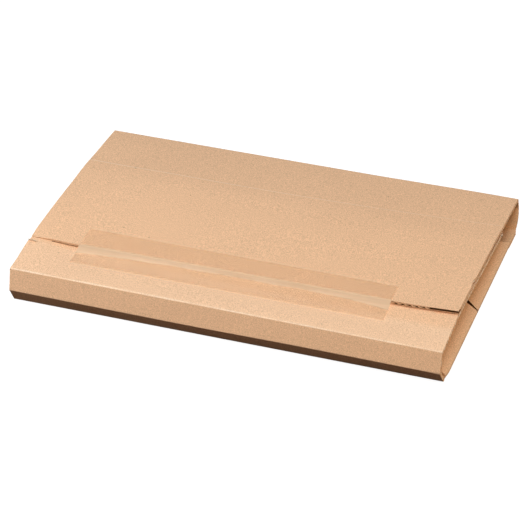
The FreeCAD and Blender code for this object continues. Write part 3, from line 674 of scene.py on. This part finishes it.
def makeTornBits():
    # a leaf of 6 by 4 points whose far edge curls up by the square of the way across
    shells = []
    for place, longWay, shortWay, curl in tornBits:
        u, v = np.meshgrid(np.linspace(-1, 1, 6), np.linspace(0, 1, 4), indexing="ij")
        narrow = 1 - 0.35 * v * v
        leaf = np.array(place) + (u * narrow)[..., None] * longWay + v[..., None] * shortWay
        leaf = leaf + np.stack([0 * u, 0 * u, curl * v * v * (1 - 0.4 * u * u)], -1)
        shells.append(slab(leaf, leaf - [0, 0, 0.3], (), (5, 5, 5)))
    return shells


sheetShells, firstRow, lastRow = makeSheet()
sheetShells += makeMedium(firstRow, lastRow)
for side in (-1, 1):
    sheetShells += makeFlap(side)
sheetShells += makeTornBits()
board = meshPiece("mailerBoard", sheetShells,
                  [linerOutside, linerInsidePaintedLight, cutEdge, fluteMedium, paintedHollowShade, tornPaper])
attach(board, "root")
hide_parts("mailer_blank")

tapeSizes = {
    "film": 0.10,
    "lift": 0.12,
    "left": -151.0,
    "right": 137.0,
    "rear": (26.1, 22.2),       # how far it reaches behind the seam at its left and right end
    "front": (23.0, 22.9),
    "bridge": (9.0, 4.8, 2.9, 2.9, 4.4, 10.0),      # how far before the seam it lands, left to right
    "stuck": (0.545, 0.375, 0.23),
    "lifted": (0.525, 0.43, 0.31),
    "alpha": 0.36,
    "airAlpha": 0.84,
    "air": (0.615, 0.448, 0.305),
    "speckPlaces": ((-133.0, 8.0), (122.0, -24.0)),
}


def wingTop(x, name, away):
    # a point on a wing's outer liner, this far from the seam
    k = panelNames.index(name)
    share = ((x + sheetSizes["halfLength"]) / (2 * sheetSizes["halfLength"]))[..., None]
    seam, other = (k, k + 1) if name == "innerToSeam" else (k + 1, k)
    ends = []
    for end in (0, 1):
        corners = sectionCorners(end)
        way = corners[other] - corners[seam]
        ends.append(corners[seam] + way / np.linalg.norm(way) * away[..., None])
    flat = ends[0] * (1 - share) + ends[1] * share
    along = away if name == "innerToSeam" else panelLengths[k] - away
    panel = np.full(x.shape, k)
    z = flat[..., 1] - seamDrop(x, panel, along) - rippleAt(x, panel, along)
    return np.stack([x, flat[..., 0] - centreY, z], -1)


def makeTape():
    # film on the outer wing, a bridge down across the step of the cut edge, film on the inner wing
    share = np.linspace(0, 1, 140)
    x = tapeSizes["left"] + (tapeSizes["right"] - tapeSizes["left"]) * share
    rear = np.interp(share, [0, 1], tapeSizes["rear"])
    front = np.interp(share, [0, 1], tapeSizes["front"])
    landing = np.interp(share, [0, 0.18, 0.4, 0.75, 0.88, 1], tapeSizes["bridge"])
    landing = landing + wander(x * 5, x * 0, 41) * 0.8
    reach = np.linspace(1, 0, 12)
    behind = rear[:, None] * reach
    ahead = landing[:, None] + (front - landing)[:, None] * reach[::-1]
    columns = np.broadcast_to(x[:, None], behind.shape)
    over = wingTop(columns, "outerFront", behind)
    under = wingTop(columns, "innerToSeam", ahead)
    part = np.linspace(0, 1, 9)[1:-1]
    bridge = over[:, -1:] * (1 - part[None, :, None]) + under[:, :1] * part[None, :, None]
    low = np.concatenate([over, bridge, under], 1) + [0, 0, tapeSizes["lift"]]
    lifted = np.zeros(low.shape[:2])
    lifted[:, len(reach) - 1:len(reach) + len(part)] = 1
    return [slab(low + [0, 0, tapeSizes["film"]], low, (), (0, 0, 0), lifted)]


def makeTapeMaterial():
    # where the film is stuck it deepens the colour of the paper, and over the step there is air
    # under it, which looks paler; long streaks run the length of the tape
    material, tree = newMaterial("clearTape")
    place = addNode(tree, "ShaderNodeTexCoord").outputs["Object"]
    longways = addNode(tree, "ShaderNodeMapping", {"Vector": place, "Scale": (14.0, 520.0, 60.0)}).outputs[0]
    streak = addNode(tree, "ShaderNodeTexNoise", {"Vector": longways, "Scale": 1.0, "Detail": 3.0}).outputs["Fac"]
    lifted = addNode(tree, "ShaderNodeAttribute", attribute_name="paleShare").outputs["Fac"]
    uneven = maths(tree, "MULTIPLY_ADD", maths(tree, "SUBTRACT", streak, 0.5), 1.1, lifted)
    air = ramp(tree, uneven, 0.25, 0.75)
    stuck, pale = (*tapeSizes["stuck"], 1), (*tapeSizes["lifted"], 1)
    colour = mixColours(tree, air, stuck, pale)
    colour = mixColours(tree, lifted, colour, (*tapeSizes["air"], 1))
    lines = maths(tree, "MULTIPLY_ADD", maths(tree, "SUBTRACT", streak, 0.5), 0.30, 1.0)
    scaled = addNode(tree, "ShaderNodeCombineColor", {0: lines, 1: lines, 2: lines}).outputs[0]
    colour = mixColours(tree, 1.0, colour, scaled, "MULTIPLY")
    # two dark specks of dirt caught under it
    split = addNode(tree, "ShaderNodeSeparateXYZ", {0: place}).outputs
    alpha = maths(tree, "MULTIPLY_ADD", lifted, tapeSizes["airAlpha"] - tapeSizes["alpha"], tapeSizes["alpha"])
    for x, y in tapeSizes["speckPlaces"]:
        spot = wingTop(np.array([x]), "outerFront", np.array([y]))[0] * mm
        away = maths(tree, "SQRT", maths(tree, "ADD",
                     maths(tree, "POWER", maths(tree, "SUBTRACT", split[0], float(spot[0])), 2.0),
                     maths(tree, "POWER", maths(tree, "SUBTRACT", split[1], float(spot[1])), 2.0)))
        dark = maths(tree, "LESS_THAN", away, 0.0007)
        colour = mixColours(tree, maths(tree, "MULTIPLY", dark, 0.8), colour, (0.15, 0.09, 0.05, 1))
        alpha = maths(tree, "MAXIMUM", alpha, maths(tree, "MULTIPLY", dark, 0.8))
    shader = addNode(tree, "ShaderNodeBsdfPrincipled", {
        "Base Color": colour, "Roughness": 0.42, "Alpha": alpha, "Specular IOR Level": 0.16})
    addNode(tree, "ShaderNodeOutputMaterial", {"Surface": shader.outputs[0]})
    return material


tape = meshPiece("clearTapeStrip", makeTape(), [makeTapeMaterial()], 60)
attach(tape, "root")
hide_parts("seam_tape")
# so thin a clear film throws no shadow on the paper under it
tape.visible_shadow = False

studio = {
    "eye": (674.2, -1862.2, 1390.2),
    "target": (-0.27, -21.19, 20.0),
    "roll": -1.4154,
    "focalPixels": 2700.0,
    "pictureWidth": 520,
    "sensor": 36.0,
    "floorHalf": 6000.0,
    "floorGlow": 0.90,
    "floorLit": 0.24,
    "floorBounce": (0.066, 0.031, 0.013),
    "sky": 0.03,
    "skyColour": (1.0, 0.66, 0.38),
    # place, width, power and colour of each lamp
    "lamps": {
        "nearLeft": ((-700.0, -700.0, 900.0), 0.5, 12.2, (0.955, 0.955, 0.95)),
        "overhead": ((600.0, -900.0, 2300.0), 1.2, 20.2, (0.955, 0.905, 0.92)),
        "nearFront": ((350.0, -760.0, 1150.0), 0.5, 3.2, (1.0, 0.9, 0.6)),
        "nearRight": ((1300.0, -200.0, 450.0), 0.6, 6.9, (1.0, 0.74, 0.46)),
        "highRear": ((500.0, 600.0, 2300.0), 1.0, 10.7, (0.47, 0.76, 1.0)),
    },
}


def makeCamera():
    data = bpy.data.cameras.new("camera")
    data.sensor_width = studio["sensor"]
    data.lens = studio["focalPixels"] / studio["pictureWidth"] * studio["sensor"]
    data.clip_start = 0.1
    data.clip_end = 50.0
    camera = bpy.data.objects.new("camera", data)
    eye, target = Vector(studio["eye"]) * mm, Vector(studio["target"]) * mm
    turn = (target - eye).to_track_quat("-Z", "Y").to_matrix() @ Matrix.Rotation(
        math.radians(studio["roll"]), 3, "Z")
    camera.matrix_world = Matrix.Translation(eye) @ turn.to_4x4()
    bpy.context.scene.collection.objects.link(camera)
    bpy.context.scene.camera = camera


def makeFloor():
    half = studio["floorHalf"]
    corners = np.array([[-half, -half, -0.2], [half, -half, -0.2], [half, half, -0.2], [-half, half, -0.2]]) * mm
    mesh = bpy.data.meshes.new("floor")
    mesh.from_pydata(corners.tolist(), [], [(0, 1, 2, 3)])
    material, tree = newMaterial("paleFloor")
    lit, bounce = studio["floorLit"], studio["floorBounce"]
    glow = addNode(tree, "ShaderNodeEmission", {"Color": (1, 1, 1, 1), "Strength": studio["floorGlow"]}).outputs[0]
    grey = addNode(tree, "ShaderNodeBsdfDiffuse", {"Color": (lit, lit, lit, 1)}).outputs[0]
    seen = addNode(tree, "ShaderNodeAddShader", {0: glow, 1: grey}).outputs[0]
    dim = addNode(tree, "ShaderNodeBsdfDiffuse", {"Color": (*bounce, 1)}).outputs[0]
    rays = addNode(tree, "ShaderNodeLightPath").outputs
    shown = maths(tree, "MAXIMUM", rays["Is Camera Ray"], maths(tree, "MAXIMUM", rays["Is Glossy Ray"],
                                                                rays["Is Transmission Ray"]))
    both = addNode(tree, "ShaderNodeMixShader", {0: shown, 1: dim, 2: seen}).outputs[0]
    addNode(tree, "ShaderNodeOutputMaterial", {"Surface": both})
    mesh.materials.append(material)
    floor = bpy.data.objects.new("floor", mesh)
    bpy.context.scene.collection.objects.link(floor)


def makeLights():
    world = bpy.data.worlds.new("studio")
    bpy.context.scene.world = world
    world.use_nodes = True
    tree = world.node_tree
    tree.nodes.clear()
    rays = addNode(tree, "ShaderNodeLightPath").outputs
    plain = addNode(tree, "ShaderNodeBackground", {"Color": (*studio["skyColour"], 1), "Strength": studio["sky"]}).outputs[0]
    white = addNode(tree, "ShaderNodeBackground", {"Color": (1, 1, 1, 1), "Strength": 1.0}).outputs[0]
    both = addNode(tree, "ShaderNodeMixShader", {0: rays["Is Camera Ray"], 1: plain, 2: white}).outputs[0]
    addNode(tree, "ShaderNodeOutputWorld", {"Surface": both})
    for name, (place, size, power, colour) in studio["lamps"].items():
        data = bpy.data.lights.new(name, "AREA")
        data.shape = "DISK"
        data.size = size
        data.energy = power
        data.color = colour
        lamp = bpy.data.objects.new(name, data)
        place = Vector(place) * mm
        lamp.matrix_world = Matrix.Translation(place) @ (-place).to_track_quat("-Z", "Y").to_matrix().to_4x4()
        lamp.visible_camera = False
        bpy.context.scene.collection.objects.link(lamp)


makeCamera()
makeFloor()
makeLights()
bpy.context.scene.view_settings.view_transform = "Standard"
print("studio ready")
